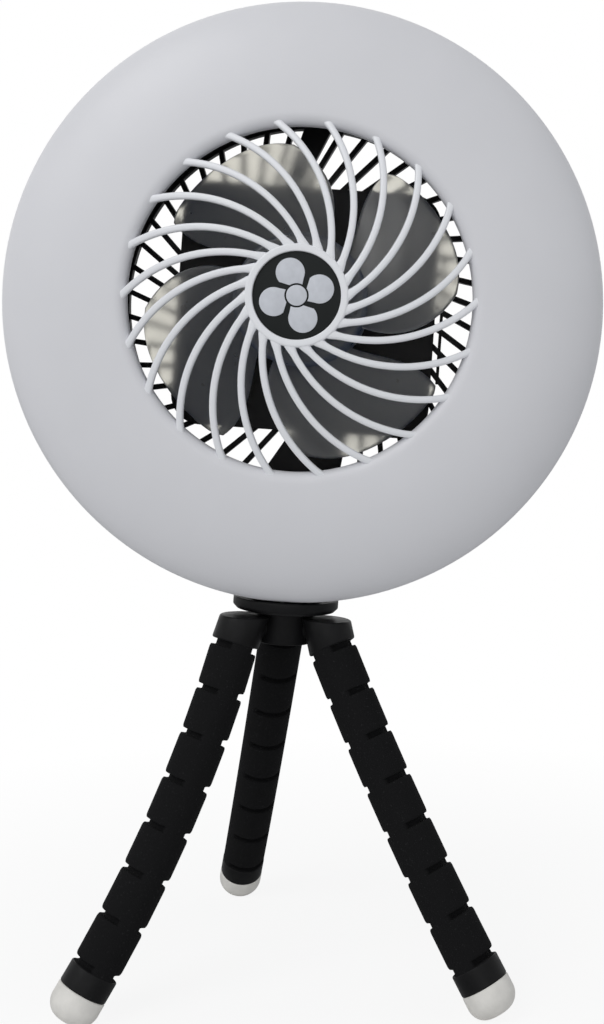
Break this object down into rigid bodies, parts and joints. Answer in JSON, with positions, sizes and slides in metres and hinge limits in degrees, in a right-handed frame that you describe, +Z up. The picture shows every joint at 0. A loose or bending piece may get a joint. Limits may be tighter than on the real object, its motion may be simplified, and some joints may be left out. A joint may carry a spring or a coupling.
{
  "type": "portable camping fan",
  "caption": "Battery camping fan with a domed ring light round a curved-rib grille, standing on a tripod with bendable foam-covered legs.",
  "frame": {"origin": "on the ground, under the middle of the whole fan", "axes": "+Z up, -Y the side that the light shines and the air leaves by, +X to the right of a viewer in front"},
  "size_m": [0.25, 0.1578, 0.4104],
  "materials": {
    "frosted_white": "frosted, light satin sheen",
    "badge_black": "gloss",
    "emblem_silver": "satin silver foil",
    "shell_black": "fine spark texture",
    "insert_brass": "machined",
    "screw_steel": "dark zinc",
    "tray_white": "smooth",
    "light_board_white": "solder mask",
    "led_yellow": "clear over phosphor",
    "impeller_smoke": "smoked, semi-gloss",
    "motor_steel": "zinc plated",
    "motor_cap_black": "moulded",
    "cell_blue": "shrink sleeve",
    "cradle_black": "moulded",
    "circuit_green": "solder mask",
    "inlet_steel": "drawn shell",
    "button_grey": "soft touch",
    "lens_clear": "clear light pipe",
    "pad_rubber": "moulded",
    "tripod_black": "semi-gloss",
    "screw_bright": "bright",
    "foam_black": "dull foam with an open grain",
    "wire_steel": "drawn",
    "foot_white": "matt"
  },
  "bodies": {
    "tripod": {"tripod_head": "tripod_black", "rubber_pad": "pad_rubber", "tripod_screw": "screw_bright", "left_leg_cup": "tripod_black", "right_leg_cup": "tripod_black", "rear_leg_cup": "tripod_black", "left_core_wire": "wire_steel", "right_core_wire": "wire_steel", "rear_core_wire": "wire_steel"},
    "head": {"front_cover": "frosted_white", "hub_badge": "badge_black", "badge_emblem": "emblem_silver", "rear_shell": "shell_black", "pod_housing": "shell_black", "thread_insert": "insert_brass", "case_screws": "screw_steel", "light_tray": "tray_white", "led_board": "light_board_white", "led_chips": "led_yellow", "motor_can": "motor_steel", "motor_end_cap": "motor_cap_black", "motor_screws": "screw_steel", "battery_cells": "cell_blue", "cell_cradle": "cradle_black", "control_board": "circuit_green", "charging_socket": "inlet_steel", "battery_cover": "shell_black", "pod_screws": "screw_steel", "indicator_lens": "lens_clear"},
    "rotor": {"impeller": "impeller_smoke", "motor_rotor": "motor_steel"},
    "fan_key": {"fan_button": "button_grey"},
    "light_key": {"light_button": "button_grey"},
    "left_block_1": {"left_foam_1": "foam_black"},
    "left_block_2": {"left_foam_2": "foam_black"},
    "left_block_3": {"left_foam_3": "foam_black"},
    "left_block_4": {"left_foam_4": "foam_black"},
    "left_block_5": {"left_foam_5": "foam_black"},
    "left_block_6": {"left_foam_6": "foam_black"},
    "left_block_7": {"left_foam_7": "foam_black"},
    "left_tip": {"left_end_cap": "tripod_black", "left_foot": "foot_white"},
    "right_block_1": {"right_foam_1": "foam_black"},
    "right_block_2": {"right_foam_2": "foam_black"},
    "right_block_3": {"right_foam_3": "foam_black"},
    "right_block_4": {"right_foam_4": "foam_black"},
    "right_block_5": {"right_foam_5": "foam_black"},
    "right_block_6": {"right_foam_6": "foam_black"},
    "right_block_7": {"right_foam_7": "foam_black"},
    "right_tip": {"right_end_cap": "tripod_black", "right_foot": "foot_white"},
    "rear_block_1": {"rear_foam_1": "foam_black"},
    "rear_block_2": {"rear_foam_2": "foam_black"},
    "rear_block_3": {"rear_foam_3": "foam_black"},
    "rear_block_4": {"rear_foam_4": "foam_black"},
    "rear_block_5": {"rear_foam_5": "foam_black"},
    "rear_block_6": {"rear_foam_6": "foam_black"},
    "rear_block_7": {"rear_foam_7": "foam_black"},
    "rear_tip": {"rear_end_cap": "tripod_black", "rear_foot": "foot_white"}
  },
  "joints": [
    {"name": "head_swivel", "type": "hinge", "parent": "tripod", "child": "head", "pos_m": [-0.00854, -0.01903, 0.1633], "axis": [0.0698, 0, 0.9976], "range_deg": [-45, 45]},
    {"name": "fan_spin", "type": "hinge", "parent": "head", "child": "rotor", "pos_m": [0, -0.01903, 0.2854], "axis": [0, -1, 0], "continuous": true},
    {"name": "fan_key_press", "type": "slide", "parent": "head", "child": "fan_key", "axis": [0, -1, 0], "range_m": [0, 0.0008], "stiffness_N_per_m": 600},
    {"name": "light_key_press", "type": "slide", "parent": "head", "child": "light_key", "axis": [0, -1, 0], "range_m": [0, 0.0008], "stiffness_N_per_m": 600},
    {"name": "left_notch_1", "type": "hinge", "parent": "tripod", "child": "left_block_1", "pos_m": [-0.02916, -0.03361, 0.14168], "axis": [-0.527, 0.8499, 0], "range_deg": [-5, 11], "deforming": ["left_core_wire"]},
    {"name": "left_notch_2", "type": "hinge", "parent": "left_block_1", "child": "left_block_2", "pos_m": [-0.03456, -0.03696, 0.12346], "axis": [-0.527, 0.8499, 0], "range_deg": [-5, 11]},
    {"name": "left_notch_3", "type": "hinge", "parent": "left_block_2", "child": "left_block_3", "pos_m": [-0.04056, -0.04068, 0.1055], "axis": [-0.527, 0.8499, 0], "range_deg": [-5, 11]},
    {"name": "left_notch_4", "type": "hinge", "parent": "left_block_3", "child": "left_block_4", "pos_m": [-0.04713, -0.04475, 0.08781], "axis": [-0.527, 0.8499, 0], "range_deg": [-5, 11]},
    {"name": "left_notch_5", "type": "hinge", "parent": "left_block_4", "child": "left_block_5", "pos_m": [-0.05428, -0.04918, 0.07044], "axis": [-0.527, 0.8499, 0], "range_deg": [-5, 11]},
    {"name": "left_notch_6", "type": "hinge", "parent": "left_block_5", "child": "left_block_6", "pos_m": [-0.06199, -0.05396, 0.05341], "axis": [-0.527, 0.8499, 0], "range_deg": [-5, 11]},
    {"name": "left_notch_7", "type": "hinge", "parent": "left_block_6", "child": "left_block_7", "pos_m": [-0.07025, -0.05908, 0.03673], "axis": [-0.527, 0.8499, 0], "range_deg": [-5, 11]},
    {"name": "left_notch_8", "type": "hinge", "parent": "left_block_7", "child": "left_tip", "pos_m": [-0.07904, -0.06454, 0.02044], "axis": [-0.527, 0.8499, 0], "range_deg": [-5, 11]},
    {"name": "right_notch_1", "type": "hinge", "parent": "tripod", "child": "right_block_1", "pos_m": [0.01196, -0.02826, 0.13881], "axis": [-0.4741, -0.8805, 0], "range_deg": [-5, 11], "deforming": ["right_core_wire"]},
    {"name": "right_notch_2", "type": "hinge", "parent": "right_block_1", "child": "right_block_2", "pos_m": [0.01943, -0.03228, 0.12147], "axis": [-0.4741, -0.8805, 0], "range_deg": [-5, 11]},
    {"name": "right_notch_3", "type": "hinge", "parent": "right_block_2", "child": "right_block_3", "pos_m": [0.02715, -0.03644, 0.10428], "axis": [-0.4741, -0.8805, 0], "range_deg": [-5, 11]},
    {"name": "right_notch_4", "type": "hinge", "parent": "right_block_3", "child": "right_block_4", "pos_m": [0.03512, -0.04073, 0.08723], "axis": [-0.4741, -0.8805, 0], "range_deg": [-5, 11]},
    {"name": "right_notch_5", "type": "hinge", "parent": "right_block_4", "child": "right_block_5", "pos_m": [0.04334, -0.04516, 0.07034], "axis": [-0.4741, -0.8805, 0], "range_deg": [-5, 11]},
    {"name": "right_notch_6", "type": "hinge", "parent": "right_block_5", "child": "right_block_6", "pos_m": [0.05181, -0.04971, 0.05361], "axis": [-0.4741, -0.8805, 0], "range_deg": [-5, 11]},
    {"name": "right_notch_7", "type": "hinge", "parent": "right_block_6", "child": "right_block_7", "pos_m": [0.06051, -0.0544, 0.03703], "axis": [-0.4741, -0.8805, 0], "range_deg": [-5, 11]},
    {"name": "right_notch_8", "type": "hinge", "parent": "right_block_7", "child": "right_tip", "pos_m": [0.06946, -0.05922, 0.02063], "axis": [-0.4741, -0.8805, 0], "range_deg": [-5, 11]},
    {"name": "rear_notch_1", "type": "hinge", "parent": "tripod", "child": "rear_block_1", "pos_m": [-0.01323, 0.00477, 0.14057], "axis": [0.9205, 0.3907, 0], "range_deg": [-5, 11], "deforming": ["rear_core_wire"]},
    {"name": "rear_notch_2", "type": "hinge", "parent": "rear_block_1", "child": "rear_block_2", "pos_m": [-0.01659, 0.01268, 0.12329], "axis": [0.9205, 0.3907, 0], "range_deg": [-5, 11]},
    {"name": "rear_notch_3", "type": "hinge", "parent": "rear_block_2", "child": "rear_block_3", "pos_m": [-0.01999, 0.02071, 0.10608], "axis": [0.9205, 0.3907, 0], "range_deg": [-5, 11]},
    {"name": "rear_notch_4", "type": "hinge", "parent": "rear_block_3", "child": "rear_block_4", "pos_m": [-0.02345, 0.02885, 0.08892], "axis": [0.9205, 0.3907, 0], "range_deg": [-5, 11]},
    {"name": "rear_notch_5", "type": "hinge", "parent": "rear_block_4", "child": "rear_block_5", "pos_m": [-0.02695, 0.0371, 0.07183], "axis": [0.9205, 0.3907, 0], "range_deg": [-5, 11]},
    {"name": "rear_notch_6", "type": "hinge", "parent": "rear_block_5", "child": "rear_block_6", "pos_m": [-0.0305, 0.04546, 0.0548], "axis": [0.9205, 0.3907, 0], "range_deg": [-5, 11]},
    {"name": "rear_notch_7", "type": "hinge", "parent": "rear_block_6", "child": "rear_block_7", "pos_m": [-0.03409, 0.05392, 0.03783], "axis": [0.9205, 0.3907, 0], "range_deg": [-5, 11]},
    {"name": "rear_notch_8", "type": "hinge", "parent": "rear_block_7", "child": "rear_tip", "pos_m": [-0.03773, 0.0625, 0.02093], "axis": [0.9205, 0.3907, 0], "range_deg": [-5, 11]}
  ],
  "couplings": [
    {"joint": "left_notch_2", "follows": "left_notch_1", "ratio": 1},
    {"joint": "left_notch_3", "follows": "left_notch_1", "ratio": 1},
    {"joint": "left_notch_4", "follows": "left_notch_1", "ratio": 1},
    {"joint": "left_notch_5", "follows": "left_notch_1", "ratio": 1},
    {"joint": "left_notch_6", "follows": "left_notch_1", "ratio": 1},
    {"joint": "left_notch_7", "follows": "left_notch_1", "ratio": 1},
    {"joint": "left_notch_8", "follows": "left_notch_1", "ratio": 1},
    {"joint": "right_notch_2", "follows": "right_notch_1", "ratio": 1},
    {"joint": "right_notch_3", "follows": "right_notch_1", "ratio": 1},
    {"joint": "right_notch_4", "follows": "right_notch_1", "ratio": 1},
    {"joint": "right_notch_5", "follows": "right_notch_1", "ratio": 1},
    {"joint": "right_notch_6", "follows": "right_notch_1", "ratio": 1},
    {"joint": "right_notch_7", "follows": "right_notch_1", "ratio": 1},
    {"joint": "right_notch_8", "follows": "right_notch_1", "ratio": 1},
    {"joint": "rear_notch_2", "follows": "rear_notch_1", "ratio": 1},
    {"joint": "rear_notch_3", "follows": "rear_notch_1", "ratio": 1},
    {"joint": "rear_notch_4", "follows": "rear_notch_1", "ratio": 1},
    {"joint": "rear_notch_5", "follows": "rear_notch_1", "ratio": 1},
    {"joint": "rear_notch_6", "follows": "rear_notch_1", "ratio": 1},
    {"joint": "rear_notch_7", "follows": "rear_notch_1", "ratio": 1},
    {"joint": "rear_notch_8", "follows": "rear_notch_1", "ratio": 1}
  ]
}
